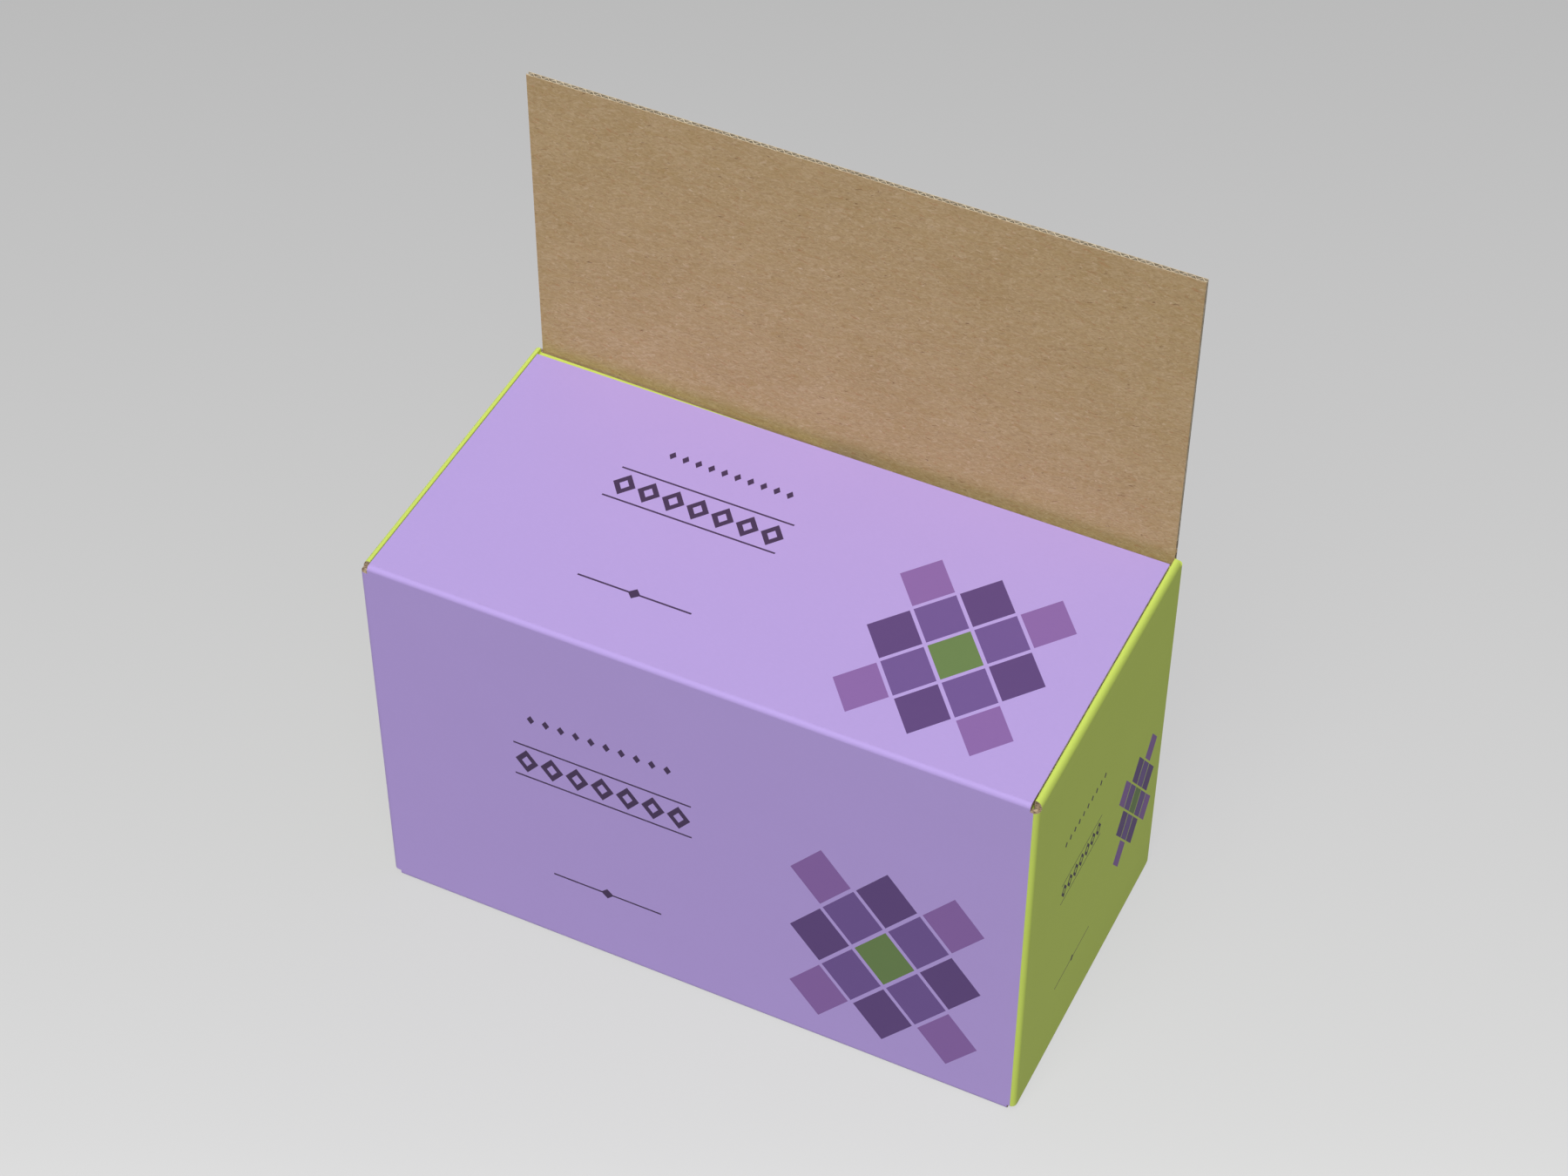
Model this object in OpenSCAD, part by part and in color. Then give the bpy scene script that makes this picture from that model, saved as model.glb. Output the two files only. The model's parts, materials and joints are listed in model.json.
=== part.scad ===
// Full overlap carton, folded from one blank of corrugated board.
// Origin: middle of the base. Front panel towards -Y, right end towards +X, +Z up.
// Modelled as it stands: inner flap closed, outer flap upright, millimetres.

/* [Carton] */
// Inside length, left to right
inside_l = 400; // [300:1:600]
// Inside width, front to back
inside_w = 200; // [150:1:300]
// Height from the floor to the top of the front and end folds
shoulder_h = 262.5; // [180:0.5:400]

/* [Board] */
// Thickness of the corrugated board
board_t = 3; // [2:0.1:4]
// Thickness of each of the two flat liner sheets
liner_t = 0.35; // [0.2:0.05:0.5]
// Thickness of the wavy sheet between the liners
wave_t = 0.3; // [0.2:0.05:0.4]
// Distance from one flute to the next
flute_pitch = 4.6; // [4:0.1:8]
// Flat contact of each flute tip on its liner
flute_tip = 0.6; // [0.3:0.1:0.9]
// Board crushed flat beside each fold, where the flutes are closed
crush_w = 8; // [4:1:15]

/* [Folds] */
// Outer radius of the upright corner folds
corner_r = 3; // [1:0.1:4]
// Outer radius of the folds along the front and back
fold_r = 3; // [1:0.1:4]
// Width of the raised fold along the top and bottom of each end
bead_w = 4.2; // [3:0.1:6]
// Rounding of the raised fold on its inner side
crown_r = 0.8; // [0.4:0.1:1.2]
// Rounding where the raised fold runs out into its flap
foot_r = 1; // [0.5:0.1:1.5]
// Play in the fold that each hinged flap turns on
crease_play = 0.1; // [0.05:0.01:0.2]

/* [Slots] */
// How far the flaps stop short of the carton's corners
slot_half = 4.5; // [4:0.1:8]
// Depth of the top corner slots below the top of the folds
slot_depth = 5; // [4:0.5:8]
// Height of the bottom corner slots above the floor
foot_slot = 4.5; // [4.5:0.5:8]

/* [Flaps] */
// How far the inner flap's free edge stops short of the back face
inner_flap_short = 10; // [5:0.5:40]
// How far the closed outer flap's free edge stops short of the front face
outer_flap_short = 11.1; // [5:0.1:40]
// Gap between the inner flap's side edges and the raised end folds
side_gap = 0.6; // [0.3:0.1:2]
// Gap between the closed outer flap and the inner flap
lay_gap = 0.3; // [0.2:0.1:1]
// Gap left between the free edges of the two end flaps
end_flap_gap = 26; // [10:1:80]
// Air between the inner flap and the left end flap, at the fold
left_sag = 0.4; // [0.3:0.1:6]
// Air between the inner flap and the right end flap, at the fold
right_sag = 4.2; // [1:0.1:6]
// How much lower each end flap's free edge hangs than its fold
end_flap_dip = 2.8; // [0:0.1:8]
// Height of the ends' bottom folds above the floor
end_fold_lift = 0.6; // [0.2:0.1:1]
// How far glued layers press into each other
glue_press = 0.05; // [0.02:0.01:0.2]

/* [Glued joint] */
// Width of the tab glued inside the back panel
tab_w = 35; // [20:1:60]
// How much shorter the tab gets at each end, towards its free edge
tab_taper = 8; // [0:1:20]
// Distance from the folds to the tab's ends
tab_inset = 14; // [10:1:30]
// How far the back panel's cut edge stops short of the left end's face
seam_step = 1.5; // [0.5:0.1:3]
// Slit between the back panel and the left end, above and below the tab
seam_gap = 0.2; // [0.1:0.1:0.5]
// Flat left on the left end's edge inside that slit
seam_land = 0.5; // [0.3:0.1:1]

/* [Hidden] */

lilac = [0.70, 0.60, 0.86];
lime = [0.76, 0.87, 0.36];
kraft = [0.64, 0.54, 0.41];

// Straight pieces in a quarter turn of a fold
arc_steps = 6;

// Half the outside length and half the outside width
half_l = inside_l / 2 + board_t;
half_w = inside_w / 2 + board_t;

// Half widths of the long flaps, measured along the length of the carton
inner_half = half_l - bead_w - side_gap;
outer_half = half_l - slot_half;
// Half width of the end flaps, measured across the carton
end_half = half_w - slot_half;

// Reach of the flaps from the face they fold along
inner_reach = 2 * half_w - inner_flap_short;
outer_reach = 2 * half_w - outer_flap_short;
end_reach = half_l - end_flap_gap / 2;

// Height of the line that the outer flap turns on, at the back face
outer_hinge_z = shoulder_h + lay_gap + board_t;

// Depth of the end flaps' upper faces below the top of their folds
left_drop = board_t + left_sag;
right_drop = board_t + right_sag;
// Rise from one glued layer of the base to the next
layer_rise = board_t - glue_press;
// Depth of the end flaps' lower faces under the carton, on two glued layers
foot_drop = 2 * layer_rise - end_fold_lift;
// Radius of the back's bottom fold, held inside its slot
back_fold_r = min(fold_r, foot_slot - board_t);

// The wavy sheet: its height, its slope and its thickness measured level
wave_h = board_t - 2 * liner_t;
wave_run = (flute_pitch / 2 - flute_tip) / wave_h;
wave_level_t = wave_t * sqrt(1 + wave_run * wave_run);
// Half widths of an air channel at its liner and at its tip
channel_wide = flute_pitch / 4 - wave_level_t / 2 + wave_run * wave_h / 2;
channel_tip = flute_pitch / 4 - wave_level_t / 2 - wave_run * (wave_h / 2 - wave_t);
channel_h = wave_h - wave_t;

// Inner face of the back panel, which the glued tab lies against
seam_y = half_w - board_t;
// Radius of the fold beside the glued joint, held inside the board
seam_r = min(corner_r, board_t - seam_land);

// Small amount by which a cut runs past the face it opens on
past = 1;
// How far a folded section runs down into its wall, so that both are one solid
lap = 1;

// Height up to which the back's bottom section runs, inside the back panel
back_lap_z = max(foot_slot, layer_rise + board_t) + lap;

// Length of an end flap's straight part, from its free edge to its fold
end_run = end_reach - bead_w - foot_r;

// Points of an arc about [cx, cy] with radii rx and ry, from angle a0 to a1
function arc(cx, cy, rx, ry, a0, a1) = [
    for (i = [0:arc_steps])
        let (a = a0 + (a1 - a0) * i / arc_steps)
        [cx + rx * cos(a), cy + ry * sin(a)]
];

// Angle on the front fold that the play takes from each side of the mitre
play_angle = asin(crease_play / (fold_r * sqrt(2)));

// Section of the front panel's head, up to the mitre that the flap turns on
function front_head_points() = concat(
    [[-half_w, shoulder_h - slot_depth - lap]],
    arc(-half_w + fold_r, shoulder_h - fold_r, fold_r, fold_r, 180, 135 + play_angle),
    [[-half_w + board_t, shoulder_h - board_t - crease_play]],
    [[-half_w + board_t, shoulder_h - slot_depth - lap]]
);

// Section of the inner flap, from the mitre to its free edge
function inner_flap_points() = concat(
    arc(-half_w + fold_r, shoulder_h - fold_r, fold_r, fold_r, 135 - play_angle, 90),
    [[-half_w + inner_reach, shoulder_h]],
    [[-half_w + inner_reach, shoulder_h - board_t]],
    [[-half_w + board_t + crease_play, shoulder_h - board_t]]
);

// Section of the back panel's head, mitred so that the outer flap can fold in
function back_head_points() = [
    [half_w - board_t, shoulder_h - slot_depth - lap],
    [half_w, shoulder_h - slot_depth - lap],
    [half_w, outer_hinge_z - crease_play],
    [half_w - board_t, outer_hinge_z - board_t - crease_play]
];

// Section of the upright outer flap
function outer_flap_points() = [
    [half_w, outer_hinge_z + crease_play],
    [half_w, outer_hinge_z + outer_reach],
    [half_w - board_t, outer_hinge_z + outer_reach],
    [half_w - board_t, outer_hinge_z + board_t + crease_play]
];

// Section of the front's bottom flap, the outermost layer of the base
function front_base_points() = concat(
    [[-half_w, foot_slot + lap]],
    arc(-half_w + fold_r, fold_r, fold_r, fold_r, 180, 270),
    [[-half_w + inner_reach, 0]],
    [[-half_w + inner_reach, board_t]],
    [[-half_w + board_t, board_t]],
    [[-half_w + board_t, foot_slot + lap]]
);

// Section of the back's bottom flap, glued on the front's
function back_base_points() = concat(
    [[half_w, back_lap_z]],
    arc(half_w - back_fold_r, layer_rise + back_fold_r, back_fold_r, back_fold_r, 0, -90),
    [[half_w - inner_reach, layer_rise]],
    [[half_w - inner_reach, layer_rise + board_t]],
    [[half_w - board_t, layer_rise + board_t]],
    [[half_w - board_t, back_lap_z]]
);

// Section of an end's fold and flap. The top of the fold is at height 0.
// drop: depth of the flap's upper face, depth: depth of the corner slot
function end_fold_points(drop, depth, dip) = concat(
    [[half_l, -depth - lap]],
    arc(half_l - bead_w + crown_r, -depth, bead_w - crown_r, depth, 0, 90),
    arc(half_l - bead_w + crown_r, -crown_r, crown_r, crown_r, 90, 180),
    arc(half_l - bead_w - foot_r, -drop + foot_r, foot_r, foot_r, 0, -90),
    [[half_l - end_reach, -drop - dip]],
    [[half_l - end_reach, -drop - dip - board_t]],
    [[half_l - board_t + lap, -drop - board_t]],
    [[half_l - board_t + lap, -depth - lap]]
);

// Plan of the upright walls: one strip, bent round the corners, whose two ends
// meet at the back left. There the back panel lies over the end's folded tab.
function wall_points() = concat(
    [[-half_l + board_t, seam_y - seam_gap]],
    arc(-half_l + seam_r, seam_y - seam_gap - seam_r, seam_r, seam_r, 90, 180),
    arc(-half_l + corner_r, -half_w + corner_r, corner_r, corner_r, 180, 270),
    arc(half_l - corner_r, -half_w + corner_r, corner_r, corner_r, 270, 360),
    arc(half_l - corner_r, half_w - corner_r, corner_r, corner_r, 0, 90),
    [[-half_l + seam_step, half_w]],
    [[-half_l + seam_step, seam_y]],
    [[half_l - board_t, seam_y]],
    [[half_l - board_t, -half_w + board_t]],
    [[-half_l + board_t, -half_w + board_t]]
);

// Draws a front to back section along the length of the carton
module along_x(half) {
    translate([-half, 0, 0])
        rotate([90, 0, 90])
            linear_extrude(height = 2 * half)
                children();
}

// Draws a left to right section across the carton
module along_y(half) {
    translate([0, half, 0])
        rotate([90, 0, 0])
            linear_extrude(height = 2 * half)
                children();
}

// Air channels between the liners of a panel that lies on the XY plane.
// They run along +Y from y = 0 and are spread evenly over the width 2 * half.
module flute_channels(half, length) {
    count = ceil(half / flute_pitch);
    rotate([90, 0, 180])
        linear_extrude(height = length)
            for (i = [-count:count]) {
                translate([i * flute_pitch, liner_t])
                    channel(1);
                translate([(i + 0.5) * flute_pitch, board_t - liner_t])
                    channel(-1);
            }
}

// One air channel, wide on its liner and narrow where the wave turns over it
module channel(side) {
    polygon([
        [-channel_wide, 0],
        [channel_wide, 0],
        [channel_tip, side * channel_h],
        [-channel_tip, side * channel_h]
    ]);
}

module walls() {
    translate([0, 0, foot_slot])
        linear_extrude(height = shoulder_h - slot_depth - foot_slot)
            polygon(wall_points());
}

// Tab of the left end, glued inside the back panel
module glue_tab() {
    low = 2 * layer_rise + tab_inset;
    high = shoulder_h - slot_depth - tab_inset;
    translate([-half_l + board_t, seam_y, 0])
        rotate([90, 0, 0])
            linear_extrude(height = board_t)
                polygon([
                    [0, low],
                    [tab_w, low + tab_taper],
                    [tab_w, high - tab_taper],
                    [0, high]
                ]);
}

// Fold and flap of an end's top, with flutes that open along its free edge
module top_end(drop) {
    translate([0, 0, shoulder_h])
        difference() {
            along_y(end_half)
                polygon(end_fold_points(drop, slot_depth, end_flap_dip));
            translate([half_l - end_reach, 0, -drop - end_flap_dip - board_t])
                rotate([0, -atan(end_flap_dip / end_run), 0])
                    translate([-past, 0, 0])
                        rotate([0, 0, -90])
                            flute_channels(end_half, past + end_run - crush_w);
        }
}

module bottom_end() {
    translate([0, 0, end_fold_lift])
        mirror([0, 0, 1])
            along_y(end_half)
                polygon(end_fold_points(foot_drop, foot_slot - end_fold_lift, 0));
}

// The front's bottom flap, with flutes that open along its free edge
module front_base() {
    difference() {
        along_x(inner_half) polygon(front_base_points());
        translate([0, -half_w + fold_r + crush_w, 0])
            flute_channels(inner_half, inner_reach - fold_r - crush_w + past);
    }
}

module carton_body() {
    color(lilac) {
        walls();
        glue_tab();
        along_x(inner_half) polygon(front_head_points());
        along_x(outer_half) polygon(back_head_points());
        front_base();
        along_x(outer_half) polygon(back_base_points());
    }
    color(lime) {
        top_end(right_drop);
        mirror([1, 0, 0]) top_end(left_drop);
        bottom_end();
        mirror([1, 0, 0]) bottom_end();
    }
}

module inner_flap() {
    color(lilac)
        difference() {
            along_x(inner_half) polygon(inner_flap_points());
            translate([0, -half_w + fold_r + crush_w, shoulder_h - board_t])
                flute_channels(inner_half, inner_reach - fold_r - crush_w + past);
        }
}

module outer_flap() {
    color(kraft)
        difference() {
            along_x(outer_half) polygon(outer_flap_points());
            translate([0, half_w, outer_hinge_z + crush_w])
                rotate([90, 0, 0])
                    flute_channels(outer_half, outer_reach - crush_w + past);
        }
}

carton_body();
inner_flap();
outer_flap();
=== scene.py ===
import json
import math

import bmesh
import bpy
from mathutils import Matrix, Vector
from mathutils.bvhtree import BVHTree


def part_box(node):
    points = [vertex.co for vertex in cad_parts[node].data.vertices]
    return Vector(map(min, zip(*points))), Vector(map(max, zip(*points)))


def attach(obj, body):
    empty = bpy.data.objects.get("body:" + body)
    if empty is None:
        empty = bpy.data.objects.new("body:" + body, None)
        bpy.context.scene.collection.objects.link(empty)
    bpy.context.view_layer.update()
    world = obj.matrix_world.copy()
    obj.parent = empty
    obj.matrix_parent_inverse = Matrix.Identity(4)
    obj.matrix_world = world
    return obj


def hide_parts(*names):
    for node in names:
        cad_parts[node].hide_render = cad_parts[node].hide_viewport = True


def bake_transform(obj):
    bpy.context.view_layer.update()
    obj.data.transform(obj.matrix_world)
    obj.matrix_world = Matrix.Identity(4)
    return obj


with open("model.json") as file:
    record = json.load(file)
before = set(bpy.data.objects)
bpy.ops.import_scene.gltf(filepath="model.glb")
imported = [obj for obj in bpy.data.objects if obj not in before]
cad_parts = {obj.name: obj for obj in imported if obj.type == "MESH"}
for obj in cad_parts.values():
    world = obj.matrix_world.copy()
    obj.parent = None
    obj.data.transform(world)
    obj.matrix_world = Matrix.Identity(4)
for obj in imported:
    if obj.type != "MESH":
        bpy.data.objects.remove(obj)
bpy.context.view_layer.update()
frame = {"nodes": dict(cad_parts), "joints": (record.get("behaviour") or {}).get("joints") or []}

# Sizes of the carton, in metres, from the frame
body_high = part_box("carton_body")[1]
inner_low, inner_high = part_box("inner_flap")
outer_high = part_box("outer_flap")[1]
HALF_L = body_high.x
HALF_W = body_high.y
SHOULDER = inner_high.z
BOARD = inner_high.z - inner_low.z
HINGES = {joint["child"]: Vector(joint["pos_m"]) for joint in frame["joints"]}
OUTER_HINGE = HINGES["outer"].z
MID_HEIGHT = SHOULDER / 2

# Sizes that the frame doesn't give, as in the part's source
FOLD_R = 0.003
BEAD_W = 0.0042
SLOT_HALF = 0.0045
SLOT_DEPTH = 0.005
SLOT_TOP = SHOULDER - SLOT_DEPTH
SLOT_FOOT = 0.0045
END_FLAP_HALF = HALF_W - SLOT_HALF
FLUTE_PITCH = 0.0046
LINER = 0.00035
WAVE_PAPER = 0.00045
CRUSH = 0.008
CREASE_PLAY = 0.0001

# How many steps the flap's fold, the strips over the folds and one wave of fluting have
FOLD_STEPS = 8
CREASE_STEPS = 12
WAVE_STEPS = 12

# Allowances used when faces are sorted and pieces laid over others
MERGE = 0.000001
NEAR = 0.0002
PROUD = 0.00003

# How far below the top slots a face still counts as the top flaps', and how far above the
# bottom slots as the bottom flaps'
FLAPS_DOWN = 0.012
FLAPS_UP = 0.005

# Shares of a face's normal from which the face counts as square to an axis, as facing down,
# as level, as turned that way, and as rising
SQUARE = 0.99
DOWN = 0.9
LEVEL = 0.6
TURNED = 0.5
RISING = 0.3

# Angles round the front fold of its mitre and of the end where the flap's flat face starts
MITRE = math.radians(135)
FOLD_END = math.radians(90)
# The largest bend between two faces that are shaded as one
SMOOTH_BEND = math.radians(34)

# The strip over the front fold: how far it reaches to both sides of the mitre, how many of its
# steps at each end lie outside its start and end points, and how deep it goes into the board
CREASE_SPREAD = math.radians(17)
CREASE_HELD = 2
CREASE_SKIN = 0.00012
# The strip across the back fold: how far it reaches past both ends of the mitre, and how deep
# it goes into the board
CREASE_REACH = 0.0006
CREASE_DEPTH = 0.0003

# The photograph's camera: its place, where it looks, its lens and how near and far it sees
CAMERA_PLACE = Vector((0.6032, -1.2412, 1.6437))
CAMERA_AZIMUTH = math.radians(-25.653)
CAMERA_DIP = math.radians(45.476)
CAMERA_ROLL = math.radians(0.236)
LENS = 81.32
SENSOR = 36
SEES_FROM = 0.05
SEES_TO = 60

# How far the floor reaches, and how far under the carton it lies so that no flicker shows
FLOOR_REACH = 8
FLOOR_GAP = 0.0004
# Ground distances along the view between which the floor goes from pale to grey, in metres
FLOOR_START = -0.22
FLOOR_END = 0.88
# Evens out the floor's change of tone over the photograph's height
FLOOR_CURVE = 0.7
# Share of the floor's seen brightness that the lamps give, and so its shadow
SHADOW_SHARE = 0.13
# Strengths of the sky and of the two lamps, where the lamps stand and how wide they are.
# The fill lamp lights the back and the left end, and lies level so that it throws no shadow
SKY = 0.22
KEY = 2.85
KEY_FROM = Vector((0.089, -0.475, 0.775))
KEY_SPREAD = math.radians(40)
FILL = 1.15
FILL_FROM = Vector((-0.42, 0.9, 0))
FILL_SPREAD = math.radians(2)

# Ornaments on the printed panels: middles and sizes from the panel's middle, in metres
WALL_PRINT = {
    "dots": (-0.057, 0.054), "dots_step": 0.0095, "dots_reach": (0.0024, 0.0034),
    "band": (-0.056, 0.0175), "band_size": (0.112, 0.026),
    "rule": (-0.056, -0.074), "rule_length": 0.070,
    "field": (0.1195, -0.038), "field_size": (0.120, 0.150),
}
FLAP_PRINT = {
    "dots": (-0.0505, 0.0505), "dots_step": 0.0082, "dots_reach": (0.0022, 0.0033),
    "band": (-0.055, 0.0175), "band_size": (0.108, 0.0245),
    "rule": (-0.0565, -0.0565), "rule_length": 0.070,
    "field": (0.120, -0.022), "field_size": (0.108, 0.130),
}
END_PRINT = {
    "dots": (-0.026, 0.051), "dots_step": 0.0062, "dots_reach": (0.0016, 0.0024),
    "band": (-0.026, 0.009), "band_size": (0.058, 0.0155),
    "rule": (-0.0265, -0.077), "rule_length": 0.051,
    "field": (0.0615, -0.0315), "field_size": (0.060, 0.078),
}
# How many dots and lozenges the ornaments have, and the rules' share of the band's height
DOTS = 10
BAND_LOZENGES = 7
FIELD_LOZENGES = 3
RULE_SHARE = 0.05
# Half sizes as shares of a lozenge's own room: the field's, the band's, its holes and the rule's stud
FIELD_INK = 0.46
BAND_INK = (0.46, 0.36)
BAND_HOLE = (0.2, 0.16)
STUD_INK = 0.16

# Grains on the printed liner, each with its length and breadth in metres
PRINT_GRAIN = (0.0035, 0.0011)
PRINT_CLOUD = (0.06, 0.04)
# The print's shade, and how much lighter the grain and the clouds make it
PRINT_SHADE = 0.972
GRAIN_SHADE = 0.036
CLOUD_SHADE = 0.02
# Grains on the bare liner, with their slant on the sheet in radians
KRAFT_GRAINS = {
    "fibres": {"grain": (0.0034, 0.0009), "turn": 0.12, "detail": 3.0, "curl": 0.7},
    "tangle": {"grain": (0.0028, 0.0010), "turn": -0.38, "detail": 3.0, "curl": 0.7},
    "streaks": {"grain": (0.0170, 0.0048), "turn": 0.05, "detail": 2.0, "curl": 0.7},
    "reddish": {"grain": (0.0050, 0.0012), "turn": -0.2, "detail": 1.0, "curl": 0.7},
    "dark": {"grain": (0.0042, 0.0010), "turn": 0.25, "detail": 0.0, "curl": 0.7},
    "pale": {"grain": (0.0032, 0.0010), "turn": -0.15, "detail": 0.0, "curl": 0.7},
    "hairs": {"grain": (0.0080, 0.0024), "turn": 0.4, "detail": 1.0, "curl": 0.8},
}
KRAFT_CLOUD = (0.05, 0.03)
# How strongly the fibres, the tangle and the clouds show in the bare liner's tone
FIBRES_TONE = 1.35
TANGLE_TONE = 1.2
CLOUD_TONE = 0.5
# Grains on cut edges, on ragged sides and inside the flutes
EDGE_GRAIN = (0.006, 0.002)
SIDE_GRAIN = (0.0022, 0.0007)
FLUTE_GRAIN = (0.004, 0.004)
# The middle of a noise's values, and how much of it is in its finer grains
NOISE_MIDDLE = 0.5
NOISE_ROUGHNESS = 0.55

# Roughness of each kind of paper: where its grain is 0, and how much more it is where it is 1
PRINT_ROUGH = (0.58, 0.1)
KRAFT_ROUGH = (0.8, 0.12)
CUT_ROUGH = (0.85, 0.1)
# How high the grain stands, in metres
PRINT_RELIEF = 0.00002
KRAFT_RELIEF = 0.00003
EDGE_RELIEF = 0.00006
SIDE_RELIEF = 0.0003
# How much each kind of paper mirrors at its surface
PRINT_GLOSS = 0.25
KRAFT_GLOSS = 0.2
CUT_GLOSS = 0.15

# The colour sockets of a Mix node, by number because sockets of other kinds share their names
MIX_SHARE = 0
MIX_FIRST = 6
MIX_SECOND = 7
MIX_RESULT = 2


def linear(red, green, blue):
    """A colour seen as 0 to 255 levels, as the light values that a shader works in."""
    levels = [level / 255 for level in (red, green, blue)]
    return (*[s / 12.92 if s <= 0.04045 else ((s + 0.055) / 1.055) ** 2.4 for s in levels], 1)


LILAC = linear(186, 163, 227)
LIME = linear(208, 228, 104)
PLUM_INK = linear(72, 54, 88)
DARK_INK = linear(62, 56, 62)
TILE_DARK = linear(97, 72, 127)
TILE_MID = linear(114, 88, 150)
TILE_LIGHT = linear(141, 105, 170)
TILE_GREEN = linear(107, 132, 80)
KRAFT_PALE = linear(199, 173, 132)
KRAFT_BROWN = linear(172, 145, 101)
KRAFT_RED = linear(180, 138, 96)
KRAFT_OCHRE = linear(176, 147, 92)
FLECK_BROWN = linear(122, 88, 62)
FLECK_PALE = linear(220, 198, 168)
EDGE_CREAM = linear(229, 213, 182)
EDGE_BROWN = linear(112, 94, 77)
EDGE_BUFF = linear(198, 176, 147)
FLUTE_PALE = linear(196, 184, 162)
FLUTE_BROWN = linear(158, 146, 124)
FLOOR_NEAR = linear(221, 221, 221)
FLOOR_FAR = linear(187, 187, 187)
FLOOR_PALE = linear(122, 122, 122)
WHITE = linear(255, 255, 255)


class Reading:
    """A node's socket on which Python's own operators add Math nodes."""

    def __init__(self, graph, socket):
        self.graph = graph
        self.socket = socket

    def maths(self, operation, *values):
        return self.graph.node("ShaderNodeMath", {"operation": operation}, values)

    def __add__(self, other):
        return self.maths("ADD", self, other)

    def __sub__(self, other):
        return self.maths("SUBTRACT", self, other)

    def __rsub__(self, other):
        return self.maths("SUBTRACT", other, self)

    def __mul__(self, other):
        return self.maths("MULTIPLY", self, other)

    def __truediv__(self, other):
        return self.maths("DIVIDE", self, other)

    def __pow__(self, other):
        return self.maths("POWER", self, other)

    def __mod__(self, other):
        return self.maths("FLOORED_MODULO", self, other)

    def __lt__(self, other):
        return self.maths("LESS_THAN", self, other)

    def __gt__(self, other):
        return self.maths("GREATER_THAN", self, other)

    def __abs__(self):
        return self.maths("ABSOLUTE", self)

    def floor(self):
        return self.maths("FLOOR", self)

    def ceil(self):
        return self.maths("CEIL", self)

    def cosine(self):
        return self.maths("COSINE", self)

    def clamped(self):
        return self.maths("MAXIMUM", self.maths("MINIMUM", self, 1), 0)

    def above(self, level, gain):
        """0 up to the level, and over it a rise to 1 as steep as the gain."""
        return ((self - level) * gain).clamped()

    def beside(self, level, gain):
        """1 at the level, and a fall to 0 on both sides of it as steep as the gain."""
        return (1 - abs(self - level) * gain).clamped()

    __radd__ = __add__
    __rmul__ = __mul__


class Graph:
    """A node tree that is filled one node at a time."""

    def __init__(self, tree):
        self.tree = tree

    def feed(self, socket, value):
        """Links one reading or a list of them to the socket, or sets its value."""
        if isinstance(value, (Reading, list)):
            for reading in value if isinstance(value, list) else [value]:
                self.tree.links.new(reading.socket, socket)
        else:
            socket.default_value = value

    def node(self, kind, settings=None, values=(), result=0):
        made = self.tree.nodes.new(kind)
        for name, setting in (settings or {}).items():
            setattr(made, name, setting)
        for key, value in values.items() if isinstance(values, dict) else enumerate(values):
            self.feed(made.inputs[key], value)
        return Reading(self, made.outputs[result])

    def mix(self, share, first, second, blend="MIX"):
        """The first colour where the share is 0, and the second laid over it where it is 1."""
        settings = {"data_type": "RGBA", "blend_type": blend}
        values = {MIX_SHARE: share, MIX_FIRST: first, MIX_SECOND: second}
        return self.node("ShaderNodeMix", settings, values, result=MIX_RESULT)

    def mix_shaders(self, share, first, second):
        return self.node("ShaderNodeMixShader", None, [share, first, second])

    def sheet_place(self):
        """The place on the flat sheet of board, in metres, as a vector and as its two numbers."""
        place = self.node("ShaderNodeUVMap", {"uv_map": "sheet"})
        apart = {"Vector": place}
        right = self.node("ShaderNodeSeparateXYZ", None, apart, result="X")
        up = self.node("ShaderNodeSeparateXYZ", None, apart, result="Y")
        return place, right, up

    def noise(self, place, grain, detail=2.0, curl=0.0):
        """Noise whose grains are as long as the grain says, in metres right and up."""
        scale = (1 / grain[0], 1 / grain[1], 1)
        stretched = self.node("ShaderNodeMapping", None, {"Vector": place, "Scale": scale})
        values = {"Vector": stretched, "Scale": 1.0, "Detail": detail}
        values |= {"Roughness": NOISE_ROUGHNESS, "Distortion": curl}
        return self.node("ShaderNodeTexNoise", {"noise_dimensions": "2D"}, values)

    def fibres(self, place, grain, turn, detail, curl):
        """Curled noise whose grains lie at that angle on the sheet."""
        turned = self.node("ShaderNodeMapping", None, {"Vector": place, "Rotation": (0, 0, turn)})
        return self.noise(turned, grain, detail, curl)

    def bump(self, height, depth):
        return self.node("ShaderNodeBump", None, {"Strength": 1.0, "Distance": depth, "Height": height})


def new_material(name):
    material = bpy.data.materials.new(name)
    material.use_nodes = True
    return material, Graph(material.node_tree)


def paper_surface(graph, colour, grain, rough, height, relief, gloss):
    """Links a paper's colour, roughness and bump to the shader, and sets how much it mirrors."""
    shader = graph.tree.nodes["Principled BSDF"]
    smoothest, rougher = rough
    graph.feed(shader.inputs["Base Color"], colour)
    graph.feed(shader.inputs["Roughness"], smoothest + grain * rougher)
    graph.feed(shader.inputs["Normal"], graph.bump(height, relief))
    graph.feed(shader.inputs["Specular IOR Level"], gloss)


def within(right, up, middle, size):
    """1 inside a box of that size round its middle."""
    return (abs(right - middle[0]) < size[0] / 2) * (abs(up - middle[1]) < size[1] / 2)


def lozenge_row(right, up, middle, count, step, reach):
    """1 inside a row of lozenges, each as wide and high as twice the reach."""
    start = middle[0] - count * step / 2
    across = abs((right - start) % step - step / 2)
    shape = (across / reach[0] + abs(up - middle[1]) / reach[1]) < 1
    return shape * within(right, up, middle, (count * step, 4 * reach[1]))


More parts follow.
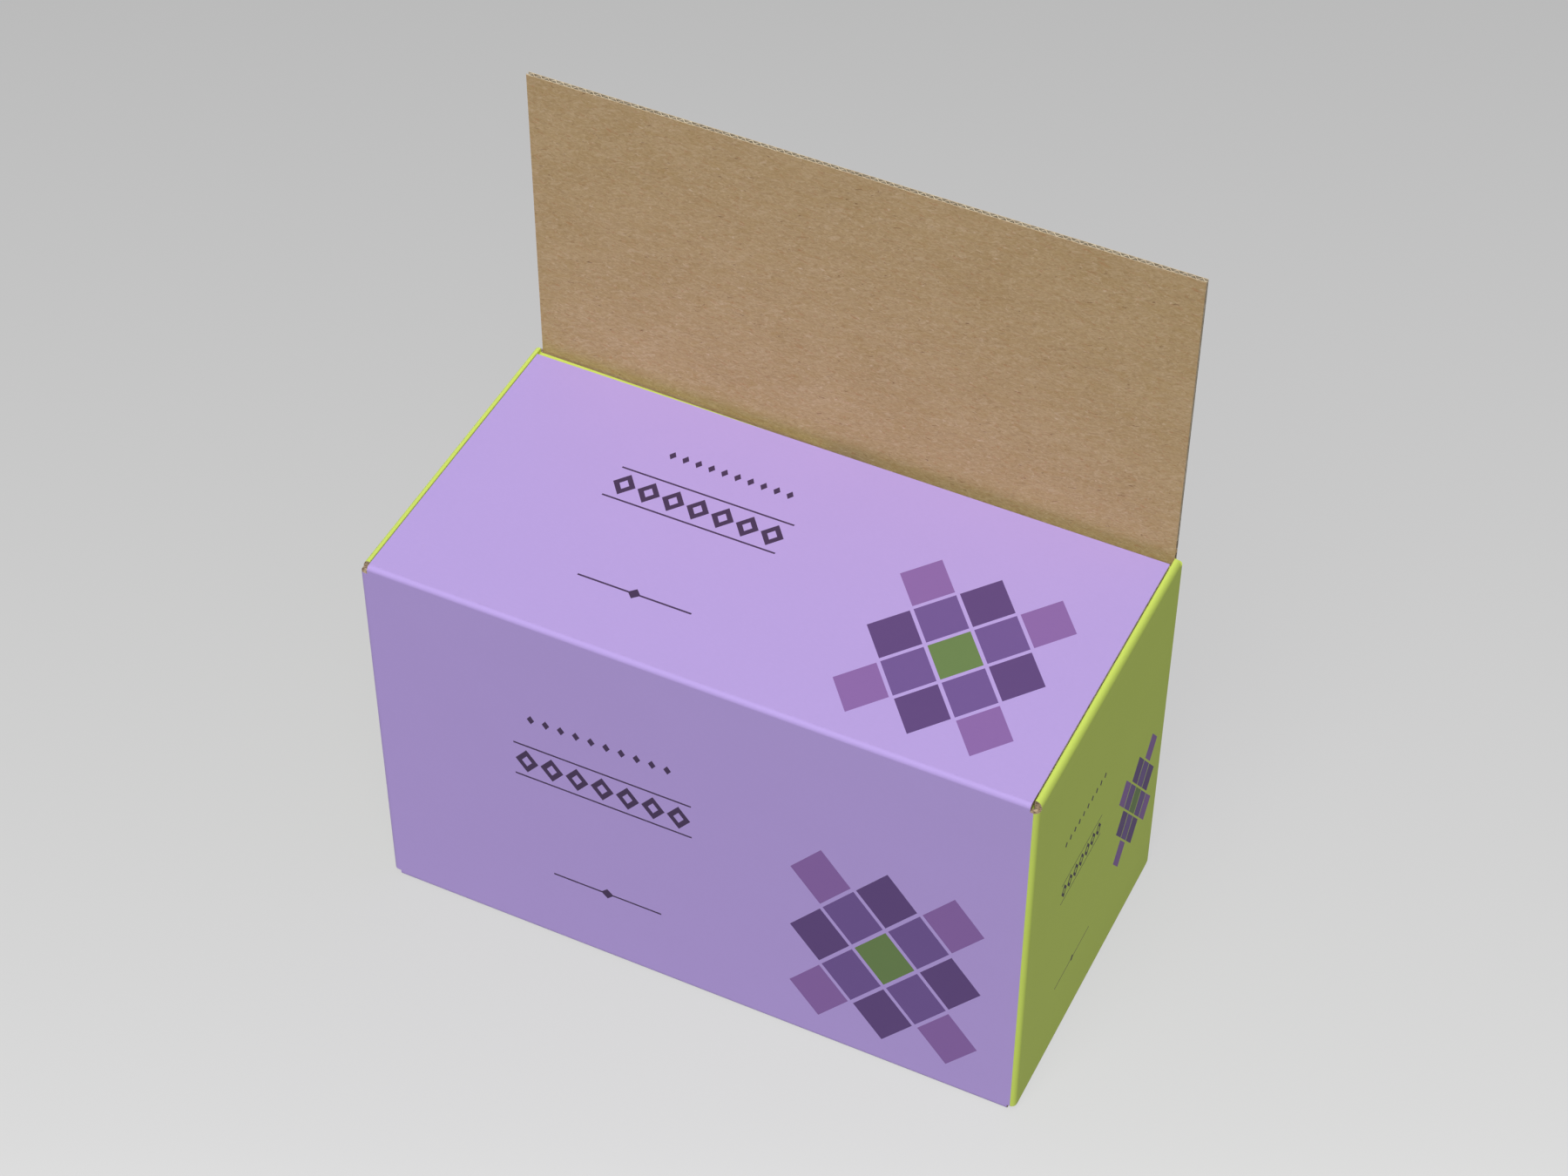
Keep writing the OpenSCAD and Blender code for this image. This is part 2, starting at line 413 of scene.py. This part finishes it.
def ornament_lines(right, up, layout):
    """1 on the printed lines: a row of dots, a band of lozenges between rules, and a rule."""
    dots = lozenge_row(right, up, layout["dots"], DOTS, layout["dots_step"], layout["dots_reach"])
    width, height = layout["band_size"]
    middle = layout["band"]
    rule_h = height * RULE_SHARE
    step = width / BAND_LOZENGES
    ink = (step * BAND_INK[0], height * BAND_INK[1])
    hole = (step * BAND_HOLE[0], height * BAND_HOLE[1])
    band = lozenge_row(right, up, middle, BAND_LOZENGES, step, ink)
    holes = lozenge_row(right, up, middle, BAND_LOZENGES, step, hole)
    lines = dots + band - holes
    for side in (-0.5, 0.5):
        lines = lines + within(right, up, (middle[0], middle[1] + side * height), (width, rule_h))
    rule = within(right, up, layout["rule"], (layout["rule_length"], rule_h))
    stud = lozenge_row(right, up, layout["rule"], 1, height, (height * STUD_INK, height * STUD_INK))
    return (lines + rule + stud).clamped()


def harlequin(graph, right, up, layout):
    """A field of whole lozenges round a green one: where it is inked, and its colour."""
    width, height = layout["field_size"]
    middle = layout["field"]
    across = (right - middle[0]) / (width / FIELD_LOZENGES)
    rise = (up - middle[1]) / (height / FIELD_LOZENGES)
    slant = across + rise + 0.5
    counter = across - rise + 0.5
    i, j = slant.floor(), counter.floor()
    lozenge = (abs(slant - i - 0.5) < FIELD_INK) * (abs(counter - j - 0.5) < FIELD_INK)
    reach = FIELD_LOZENGES - 0.5
    inked = lozenge * (abs(i + j) < reach) * (abs(i - j) < reach)
    odd = i % 2 + j % 2
    colour = graph.mix(odd > 0.5, TILE_LIGHT, TILE_MID)
    colour = graph.mix(odd > 1.5, colour, TILE_DARK)
    is_green = (odd < 0.5) * (((i + j) % 4) < 0.5)
    return inked, graph.mix(is_green, colour, TILE_GREEN)


def printed_board(name, paper, ink, layout):
    """Printed liner: flat colour with faint paper grain, and the panel's ornaments."""
    material, graph = new_material(name)
    place, right, up = graph.sheet_place()
    fibres = graph.noise(place, PRINT_GRAIN, detail=3.0)
    cloud = graph.noise(place, PRINT_CLOUD)
    colour = graph.mix(ornament_lines(right, up, layout), paper, ink)
    inked, tiles = harlequin(graph, right, up, layout)
    colour = graph.mix(inked, colour, tiles)
    shade = PRINT_SHADE + fibres * GRAIN_SHADE + cloud * CLOUD_SHADE
    tint = graph.node("ShaderNodeCombineColor", None, [shade, shade, shade])
    colour = graph.mix(1.0, colour, tint, blend="MULTIPLY")
    paper_surface(graph, colour, fibres, PRINT_ROUGH, fibres, PRINT_RELIEF, PRINT_GLOSS)
    return material


def kraft_board():
    """Bare brown liner: tangled fibres and soft mottling, and then streaks, strands and hairs."""
    material, graph = new_material("bare_kraft")
    place, _, _ = graph.sheet_place()
    layer = {name: graph.fibres(place, **grain) for name, grain in KRAFT_GRAINS.items()}
    fibres, tangle, hairs = layer["fibres"], layer["tangle"], layer["hairs"]
    cloud = graph.noise(place, KRAFT_CLOUD)
    mottling = (fibres - NOISE_MIDDLE) * FIBRES_TONE + (tangle - NOISE_MIDDLE) * TANGLE_TONE
    tone = mottling + (cloud - NOISE_MIDDLE) * CLOUD_TONE + NOISE_MIDDLE
    colour = graph.mix(tone.clamped(), KRAFT_BROWN, KRAFT_PALE)
    tints = [
        (layer["streaks"].above(level=0.42, gain=3) * 0.36, KRAFT_OCHRE),
        (layer["reddish"].above(level=0.62, gain=4), KRAFT_RED),
        (layer["dark"].above(level=0.84, gain=14) * 0.75, FLECK_BROWN),
        ((1 - layer["pale"]).above(level=0.77, gain=8) * 0.5, FLECK_PALE),
        (hairs.beside(level=0.5, gain=24) * 0.27, FLECK_PALE),
        (hairs.beside(level=0.62, gain=30) * 0.18, FLECK_BROWN),
    ]
    for share, tint in tints:
        colour = graph.mix(share, colour, tint)
    paper_surface(graph, colour, fibres, KRAFT_ROUGH, fibres + tangle, KRAFT_RELIEF, KRAFT_GLOSS)
    return material


def cut_board(name, pale, dark, grain, contrast=3, relief=EDGE_RELIEF):
    """Cut or inner paper of the board, mottled between two colours."""
    material, graph = new_material(name)
    place, _, _ = graph.sheet_place()
    patches = graph.noise(place, grain, detail=6.0, curl=0.4)
    share = ((patches - NOISE_MIDDLE) * contrast + NOISE_MIDDLE).clamped()
    colour = graph.mix(share, dark, pale)
    paper_surface(graph, colour, patches, CUT_ROUGH, patches, relief, CUT_GLOSS)
    return material


LILAC_WALL, LILAC_FLAP, LIME_END, KRAFT, EDGE, SIDE_EDGE, FLUTE = range(7)
FINISHES = [
    printed_board("lilac_wall", LILAC, PLUM_INK, WALL_PRINT),
    printed_board("lilac_flap", LILAC, PLUM_INK, FLAP_PRINT),
    printed_board("lime_end", LIME, DARK_INK, END_PRINT),
    kraft_board(),
    cut_board("cut_edge", EDGE_CREAM, EDGE_BUFF, EDGE_GRAIN),
    cut_board("cut_side", EDGE_BUFF, EDGE_BROWN, SIDE_GRAIN, contrast=4, relief=SIDE_RELIEF),
    cut_board("flute_paper", FLUTE_PALE, FLUTE_BROWN, FLUTE_GRAIN),
]

# Moves a face's place on the sheet off every ornament
OFF_PRINT = 10


def wall_place(point, normal):
    """Place on an upright panel, read from outside: right of its middle, and up."""
    if abs(normal.y) >= abs(normal.x):
        return -math.copysign(1, normal.y) * point.x, point.z - MID_HEIGHT
    return math.copysign(1, normal.x) * point.y, point.z - MID_HEIGHT


def flap_place(point, _normal):
    """Place on the inner flap, read from above."""
    return point.x, point.y


def outer_flap_place(point, _normal):
    """Place on the outer flap, read from above once it is closed."""
    return point.x, HALF_W + OUTER_HINGE - point.z


def plain_place(point, normal):
    """Place on a panel with no ornaments."""
    if abs(normal.z) > TURNED:
        return point.x + OFF_PRINT, point.y
    right, up = wall_place(point, normal)
    return right + OFF_PRINT, up


def sort_body_face(middle, normal):
    """The finish of one of the folded body's faces, and its place on the sheet."""
    reach_x, reach_y = abs(middle.x), abs(middle.y)
    square_x, square_y, square_z = (abs(share) > SQUARE for share in normal)
    high = middle.z > SLOT_TOP - FLAPS_DOWN
    low = middle.z < SLOT_FOOT + FLAPS_UP
    on_end = reach_x > HALF_L - BEAD_W - NEAR
    # Free edges of the end flaps, and the walls' and flaps' sides at the slots
    if square_x and not on_end:
        return SIDE_EDGE if reach_x > HALF_L / 2 else EDGE, plain_place
    if square_x and reach_y > HALF_W - BOARD and reach_x < HALF_L - NEAR:
        return SIDE_EDGE, plain_place
    if square_y and reach_y < HALF_W - BOARD - NEAR and (high or low):
        return SIDE_EDGE if reach_y > END_FLAP_HALF - NEAR else EDGE, plain_place
    # The walls' cut tops and feet at the slots. At the right back the lime print goes over them
    if square_z and on_end and reach_y > END_FLAP_HALF:
        return LIME_END if high and middle.x > 0 and middle.y > 0 else SIDE_EDGE, plain_place
    # The left front corner, which the front's print goes round
    if middle.x < FOLD_R - HALF_L and middle.y < FOLD_R - HALF_W:
        return LILAC_WALL, plain_place
    # The mitres of both folds, and the faces inside that look up or down
    if high and normal.z > LEVEL and middle.y > HALF_W - BOARD or normal.y > LEVEL and normal.z > LEVEL:
        return KRAFT, plain_place
    if normal.z > LEVEL and not high or normal.z < -LEVEL and not low:
        return KRAFT, plain_place
    # The long bottom flaps, and the tops of the end flaps
    if low and normal.z < -DOWN and not on_end:
        return LILAC_WALL, plain_place
    if high and normal.z > RISING and reach_y < END_FLAP_HALF and reach_x < HALF_L - BOARD:
        return LIME_END, plain_place
    # The outside and the inside of the walls
    if on_end and (high or low or reach_x > HALF_L - BOARD + NEAR):
        return LIME_END, wall_place
    if reach_y > HALF_W - BOARD + NEAR:
        return LILAC_WALL, wall_place
    return KRAFT, wall_place


def link(piece):
    bpy.context.scene.collection.objects.link(piece)
    return piece


def smooth_shading(mesh):
    """Rounds the shading of the folds, and keeps the flat panels flat."""
    mesh.shade_smooth()
    mesh.set_sharp_from_angle(angle=SMOOTH_BEND)


def dressed_board(node, name, sort_face):
    """A merged copy of a folded node. Each face gets its finish and its place on the sheet."""
    source = frame["nodes"][node].data
    mesh = bpy.data.meshes.new(name)
    mesh.from_pydata([v.co[:] for v in source.vertices], [], [p.vertices[:] for p in source.polygons])
    shell = bmesh.new()
    shell.from_mesh(mesh)
    bmesh.ops.remove_doubles(shell, verts=shell.verts, dist=MERGE)
    shell.normal_update()
    solid = BVHTree.FromBMesh(shell)
    sheet = shell.loops.layers.uv.new("sheet")
    for face in shell.faces:
        middle = face.calc_center_median()
        # A face of the flaps that looks at another one close by lies inside a flute
        start = middle + face.normal * MERGE
        facing = solid.ray_cast(start, face.normal, FLUTE_PITCH)[0]
        in_flute = facing and abs(middle.y) < END_FLAP_HALF
        finish, place = sort_face(middle, face.normal)
        face.material_index = FLUTE if in_flute else finish
        for corner in face.loops:
            corner[sheet].uv = place(corner.vert.co, face.normal)
    shell.to_mesh(mesh)
    shell.free()
    for material in FINISHES:
        mesh.materials.append(material)
    smooth_shading(mesh)
    piece = link(bpy.data.objects.new(name, mesh))
    weighted = piece.modifiers.new("flat panels", "WEIGHTED_NORMAL")
    weighted.keep_sharp = True
    return piece


def steps_between(first, last, steps):
    """Evenly spaced values from the first to the last."""
    return [first + (last - first) * i / steps for i in range(steps + 1)]


def prism(name, section, half, place, lay=lambda y, z: (y, z)):
    """A closed solid along the carton. Each point of its section has the finish of the side after it."""
    count = len(section)
    points = [Vector((side * half, *lay(y, z))) for side in (-1, 1) for y, z, _ in section]
    faces = [list(range(count))[::-1], list(range(count, 2 * count))]
    faces += [[i, (i + 1) % count, count + (i + 1) % count, count + i] for i in range(count)]
    mesh = bpy.data.meshes.new(name)
    mesh.from_pydata(points, [], faces)
    finishes = [SIDE_EDGE, SIDE_EDGE] + [finish for _, _, finish in section]
    mesh.polygons.foreach_set("material_index", finishes)
    shell = bmesh.new()
    shell.from_mesh(mesh)
    bmesh.ops.recalc_face_normals(shell, faces=shell.faces)
    sheet = shell.loops.layers.uv.new("sheet")
    for face in shell.faces:
        for corner in face.loops:
            corner[sheet].uv = place(corner.vert.co, face.normal)
    shell.to_mesh(mesh)
    shell.free()
    for material in FINISHES:
        mesh.materials.append(material)
    smooth_shading(mesh)
    return link(bpy.data.objects.new(name, mesh))


def flap_liners(name, fold, crush_end, reach, half, lay, place):
    """A hinged flap's board: its fold, then two liners with room for the flutes between them."""
    section = fold + [
        (reach, 0, EDGE), (reach, LINER, FLUTE), (crush_end, LINER, FLUTE),
        (crush_end, BOARD - LINER, FLUTE), (reach, BOARD - LINER, EDGE), (reach, BOARD, KRAFT),
        (BOARD + CREASE_PLAY, BOARD, KRAFT),
    ]
    return prism(name, section, half, place, lay)


# The inputs of the fluting's node group, and their kinds
FLUTING_INPUTS = {
    "Width": "NodeSocketFloat", "Start": "NodeSocketFloat", "Reach": "NodeSocketFloat",
    "Board": "NodeSocketFloat", "Liner": "NodeSocketFloat", "Paper": "NodeSocketFloat",
    "Pitch": "NodeSocketFloat", "Steps": "NodeSocketInt", "Turn": "NodeSocketRotation",
    "Place": "NodeSocketVector", "Sheet Start": "NodeSocketVector",
    "Wave Finish": "NodeSocketMaterial", "Cut Finish": "NodeSocketMaterial",
}


def fluting_tree():
    """Geometry nodes for the wavy sheet between two liners: drawn flat, then turned to its place."""
    tree = bpy.data.node_groups.new("fluting", "GeometryNodeTree")
    for label, kind in FLUTING_INPUTS.items():
        tree.interface.new_socket(name=label, in_out="INPUT", socket_type=kind)
    tree.interface.new_socket(name="Geometry", in_out="OUTPUT", socket_type="NodeSocketGeometry")
    graph = Graph(tree)
    source = tree.nodes.new("NodeGroupInput")
    given = {socket.name: Reading(graph, socket) for socket in source.outputs}
    length = given["Reach"] - given["Start"]
    columns = (given["Width"] / given["Pitch"]).ceil() * given["Steps"] + 1
    grid = graph.node("GeometryNodeMeshGrid", None, [given["Width"], length, columns, 2])
    place = graph.node("GeometryNodeInputPosition")
    across = graph.node("ShaderNodeSeparateXYZ", None, [place], result="X")
    room = given["Board"] - given["Liner"] * 2 - given["Paper"]
    wave = (across / given["Pitch"] * math.tau).cosine() * room / 2
    lift = graph.node("ShaderNodeCombineXYZ", None, {
        "Y": given["Start"] + length / 2, "Z": given["Liner"] + room / 2 + wave})
    under = graph.node("GeometryNodeSetPosition", None, {"Geometry": grid, "Offset": lift})
    over = graph.node("GeometryNodeExtrudeMesh", {"mode": "FACES"}, {
        "Mesh": under, "Offset": (0, 0, 1), "Offset Scale": given["Paper"], "Individual": False})
    shut = graph.node("GeometryNodeFlipFaces", None, {"Mesh": under})
    both = graph.node("GeometryNodeJoinGeometry", None, {"Geometry": [over, shut]})
    shell = graph.node("GeometryNodeMergeByDistance", None, {"Geometry": both, "Distance": MERGE})
    on_sheet = graph.node("ShaderNodeVectorMath", {"operation": "ADD"}, [place, given["Sheet Start"]])
    marked = graph.node("GeometryNodeStoreNamedAttribute", {"data_type": "FLOAT2", "domain": "CORNER"}, {
        "Geometry": shell, "Name": "sheet", "Value": on_sheet})
    normal = graph.node("GeometryNodeInputNormal")
    facing = graph.node("ShaderNodeSeparateXYZ", None, [normal], result="Y")
    whole = graph.node("GeometryNodeRealizeInstances", None, {"Geometry": marked})
    papered = graph.node("GeometryNodeSetMaterial", None, {
        "Geometry": whole, "Material": given["Wave Finish"]})
    cut = graph.node("GeometryNodeSetMaterial", None, {
        "Geometry": papered, "Selection": abs(facing) > TURNED, "Material": given["Cut Finish"]})
    placed = graph.node("GeometryNodeTransform", None, {
        "Geometry": cut, "Translation": given["Place"], "Rotation": given["Turn"]})
    result = tree.nodes.new("NodeGroupOutput")
    graph.feed(result.inputs["Geometry"], placed)
    return tree


def fluting(name, tree, values):
    """A plain mesh of the wavy sheet that the tree makes from those values."""
    carrier = link(bpy.data.objects.new(name + "_carrier", bpy.data.meshes.new(name + "_carrier")))
    maker = carrier.modifiers.new("fluting", "NODES")
    maker.node_group = tree
    for socket in tree.interface.items_tree:
        if socket.in_out == "INPUT":
            maker[socket.identifier] = values[socket.name]
    depsgraph = bpy.context.evaluated_depsgraph_get()
    made = carrier.evaluated_get(depsgraph)
    mesh = bpy.data.meshes.new_from_object(made, preserve_all_data_layers=True, depsgraph=depsgraph)
    carrier.modifiers.remove(maker)
    bpy.data.objects.remove(carrier)
    mesh.name = name
    smooth_shading(mesh)
    return link(bpy.data.objects.new(name, mesh))


def add_flap(tree, side, fold, start, reach, half, lay, place, turn, foot):
    """A long flap: liners from its fold to its free edge, and the fluting between them."""
    board = flap_liners(side + "_board", fold, start, reach, half, lay, place)
    wave = fluting(side + "_fluting", tree, {
        "Width": 2 * half, "Start": start, "Reach": reach, "Board": BOARD, "Liner": LINER,
        "Paper": WAVE_PAPER, "Pitch": FLUTE_PITCH, "Steps": WAVE_STEPS, "Turn": turn, "Place": foot,
        "Sheet Start": (OFF_PRINT, 0, 0), "Wave Finish": FINISHES[FLUTE], "Cut Finish": FINISHES[EDGE],
    })
    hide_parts(side + "_flap")
    for piece in (board, wave):
        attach(piece, side)


def add_inner_flap(tree):
    """The front's flap, which has its share of the round fold up to the mitre."""
    play = math.asin(CREASE_PLAY / (FOLD_R * math.sqrt(2)))
    turns = steps_between(MITRE - play, FOLD_END, FOLD_STEPS)
    fold = [(FOLD_R + FOLD_R * math.cos(a), FOLD_R - FOLD_R * math.sin(a), LILAC_FLAP) for a in turns]

    def lay(along, depth):
        return along - HALF_W, SHOULDER - depth

    add_flap(
        tree, side="inner", fold=fold, start=FOLD_R + CRUSH,
        reach=inner_high.y + HALF_W, half=inner_high.x, lay=lay, place=flap_place,
        turn=(0, 0, 0), foot=(0, -HALF_W, SHOULDER - BOARD))


def add_outer_flap(tree):
    """The back's flap, which starts at the mitre of a sharp fold."""
    def lay(along, depth):
        return HALF_W - depth, OUTER_HINGE + along

    add_flap(
        tree, side="outer", fold=[(CREASE_PLAY, 0, LILAC_FLAP)], start=CRUSH,
        reach=outer_high.z - OUTER_HINGE, half=outer_high.x, lay=lay, place=outer_flap_place,
        turn=(math.pi / 2, 0, 0), foot=(0, HALF_W, OUTER_HINGE))


def front_crease():
    """Outer liner over the front fold."""
    middle_y, middle_z = FOLD_R - HALF_W, SHOULDER - FOLD_R
    angles = steps_between(MITRE + CREASE_SPREAD, MITRE - CREASE_SPREAD, CREASE_STEPS)

    def on_fold(radius, angle):
        return middle_y + radius * math.cos(angle), middle_z + radius * math.sin(angle)

    rims = [(FOLD_R + PROUD, angles), (FOLD_R - CREASE_SKIN, angles[::-1])]
    section = [(*on_fold(radius, angle), LILAC_FLAP) for radius, turn in rims for angle in turn]
    piece = prism("front_crease", section, inner_high.x, flap_place)
    start = (0, *on_fold(FOLD_R, angles[CREASE_HELD]))
    end = (0, *on_fold(FOLD_R, angles[-1 - CREASE_HELD]))
    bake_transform(piece)


def back_crease():
    """Inner liner across the back fold."""
    face_y = HALF_W - BOARD
    low, high = OUTER_HINGE - BOARD, OUTER_HINGE + BOARD
    heights = steps_between(low - CREASE_REACH, high + CREASE_REACH, CREASE_STEPS)
    section = [(face_y - PROUD, z, KRAFT) for z in heights]
    section += [(face_y + CREASE_DEPTH, z, KRAFT) for z in heights[::-1]]
    piece = prism("back_crease", section, outer_high.x, outer_flap_place)
    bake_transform(piece)


def aim(azimuth, dip, roll):
    """A rotation that looks along that azimuth, from +Y towards +X, and down by the dip."""
    ahead = Vector((math.sin(azimuth) * math.cos(dip), math.cos(azimuth) * math.cos(dip), -math.sin(dip)))
    right = Vector((math.cos(azimuth), -math.sin(azimuth), 0))
    up = right.cross(ahead)
    turned_right = right * math.cos(roll) + up * math.sin(roll)
    turned_up = up * math.cos(roll) - right * math.sin(roll)
    return Matrix((turned_right, turned_up, -ahead)).transposed().to_4x4()


def add_camera():
    lens = bpy.data.cameras.new("photo_camera")
    lens.lens = LENS
    lens.sensor_width = SENSOR
    lens.clip_start = SEES_FROM
    lens.clip_end = SEES_TO
    camera = link(bpy.data.objects.new("photo_camera", lens))
    camera.matrix_world = Matrix.Translation(CAMERA_PLACE) @ aim(CAMERA_AZIMUTH, CAMERA_DIP, CAMERA_ROLL)
    bpy.context.scene.camera = camera


def seen_share(graph):
    """1 for rays from the camera, and for those that a glossy or clear surface sends on."""
    camera = graph.node("ShaderNodeLightPath", result="Is Camera Ray")
    glossy = graph.node("ShaderNodeLightPath", result="Is Glossy Ray")
    clear = graph.node("ShaderNodeLightPath", result="Is Transmission Ray")
    return (camera + glossy + clear).clamped()


def add_floor():
    """A pale floor. It darkens away from the photograph's camera, and takes a faint shadow."""
    mesh = bpy.data.meshes.new("floor")
    sides = [(-1, -1), (1, -1), (1, 1), (-1, 1)]
    corners = [(x * FLOOR_REACH, y * FLOOR_REACH, -FLOOR_GAP) for x, y in sides]
    mesh.from_pydata(corners, [], [(0, 1, 2, 3)])
    floor = link(bpy.data.objects.new("floor", mesh))
    material, graph = new_material("pale_floor")
    graph.tree.nodes.remove(graph.tree.nodes["Principled BSDF"])
    place = graph.node("ShaderNodeTexCoord", result="Object")
    ahead = (math.sin(CAMERA_AZIMUTH), math.cos(CAMERA_AZIMUTH), 0)
    product = {"operation": "DOT_PRODUCT"}
    along = graph.node("ShaderNodeVectorMath", product, [place, ahead], result="Value")
    share = ((along - FLOOR_START) / (FLOOR_END - FLOOR_START)).clamped() ** FLOOR_CURVE
    shown = graph.mix(share, FLOOR_NEAR, FLOOR_FAR)
    glow = graph.node("ShaderNodeEmission", None, [shown, 1.0])
    lit = graph.node("ShaderNodeBsdfDiffuse", None, [shown])
    pale = graph.node("ShaderNodeBsdfDiffuse", None, [FLOOR_PALE])
    backdrop = graph.mix_shaders(SHADOW_SHARE, glow, lit)
    surface = graph.mix_shaders(seen_share(graph), pale, backdrop)
    graph.feed(graph.tree.nodes["Material Output"].inputs["Surface"], surface)
    mesh.materials.append(material)


def add_lamp(name, strength, place, spread):
    """A far lamp that shines from that direction."""
    lamp = bpy.data.lights.new(name, "SUN")
    lamp.energy = strength
    lamp.angle = spread
    stand = link(bpy.data.objects.new(name, lamp))
    stand.rotation_mode = "QUATERNION"
    stand.rotation_quaternion = place.to_track_quat("Z", "Y")


def add_light():
    """An even white sky, a wide soft lamp from the front and above, and a low one from behind."""
    world = bpy.data.worlds.new("studio")
    bpy.context.scene.world = world
    world.use_nodes = True
    graph = Graph(world.node_tree)
    graph.tree.nodes.clear()
    sky = graph.node("ShaderNodeBackground", None, [WHITE, SKY])
    backdrop = graph.node("ShaderNodeBackground", None, [FLOOR_FAR, 1.0])
    out = graph.tree.nodes.new("ShaderNodeOutputWorld")
    graph.feed(out.inputs["Surface"], graph.mix_shaders(seen_share(graph), sky, backdrop))
    add_lamp("key", KEY, KEY_FROM, KEY_SPREAD)
    add_lamp("fill", FILL, FILL_FROM, FILL_SPREAD)


add_camera()
add_floor()
add_light()

printed_body = dressed_board("carton_body", "printed_body", sort_body_face)
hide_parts("carton_body")
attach(printed_body, "carton")

waves = fluting_tree()
add_inner_flap(waves)
add_outer_flap(waves)
front_crease()
back_crease()

bpy.context.scene.view_settings.view_transform = "Standard"
